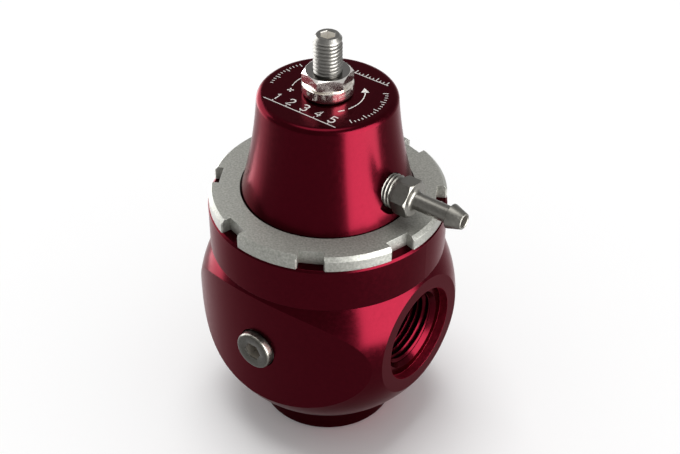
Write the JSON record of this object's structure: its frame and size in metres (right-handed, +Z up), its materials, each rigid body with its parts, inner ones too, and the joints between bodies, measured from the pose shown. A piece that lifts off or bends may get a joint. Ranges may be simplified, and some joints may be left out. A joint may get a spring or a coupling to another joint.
{
  "type": "fuel pressure regulator",
  "caption": "Fuel pressure regulator with a ball-shaped ported body, a castellated lock ring and a conical bonnet that carries a screw adjuster and a hose barb.",
  "frame": {"origin": "centre of the foot's bottom face, on the vertical axis of the body, bonnet and adjuster", "axes": "+Z up along the adjuster, +X out of the inlet port and along the hose barb, -Y out of the gauge port, +Y out of the bracket holes"},
  "size_m": [0.0787, 0.069, 0.1255],
  "materials": {
    "red_anodised": "red anodised, fine turning lines",
    "ring_silver": "clear anodised, satin, lightly speckled",
    "stainless": "bright stainless, turned",
    "fitting_steel": "plated steel, dull",
    "plate_alloy": "machined",
    "spring_steel": "oiled spring wire",
    "seal_rubber": "black rubber"
  },
  "bodies": {
    "housing": {"body": "red_anodised", "seat": "stainless", "seat_o_ring": "seal_rubber", "diaphragm": "seal_rubber", "main_spring": "spring_steel", "bonnet": "red_anodised", "lock_ring": "ring_silver", "adjuster_o_ring": "seal_rubber", "sealing_washer": "stainless", "barb_fitting": "fitting_steel", "gauge_plug": "fitting_steel"},
    "valve": {"valve_disc": "seal_rubber", "valve_stem": "stainless", "lower_plate": "plate_alloy", "upper_plate": "plate_alloy", "stem_nut": "stainless"},
    "spring_carrier": {"spring_seat": "plate_alloy", "thrust_ball": "stainless"},
    "adjuster": {"adjuster_screw": "stainless"},
    "nut": {"lock_nut": "stainless"}
  },
  "joints": [
    {"name": "spring_seat_slide", "type": "slide", "parent": "housing", "child": "spring_carrier", "axis": [0, 0, 1], "range_m": [-0.005, 0.002], "deforming": ["main_spring"]},
    {"name": "adjuster_turn", "type": "hinge", "parent": "spring_carrier", "child": "adjuster", "pos_m": [0, 0, 0.1], "axis": [0, 0, 1], "range_deg": [-1710, 690]},
    {"name": "lock_nut_turn", "type": "hinge", "parent": "housing", "child": "nut", "pos_m": [0, 0, 0.113], "axis": [0, 0, 1], "range_deg": [0, 90]},
    {"name": "valve_lift", "type": "slide", "parent": "housing", "child": "valve", "axis": [0, 0, 1], "range_m": [0, 0.0015], "stiffness_N_per_m": 3000, "deforming": ["diaphragm"]}
  ],
  "couplings": [
    {"joint": "adjuster_turn", "follows": "spring_seat_slide", "rad_per_m": 5936.9}
  ]
}
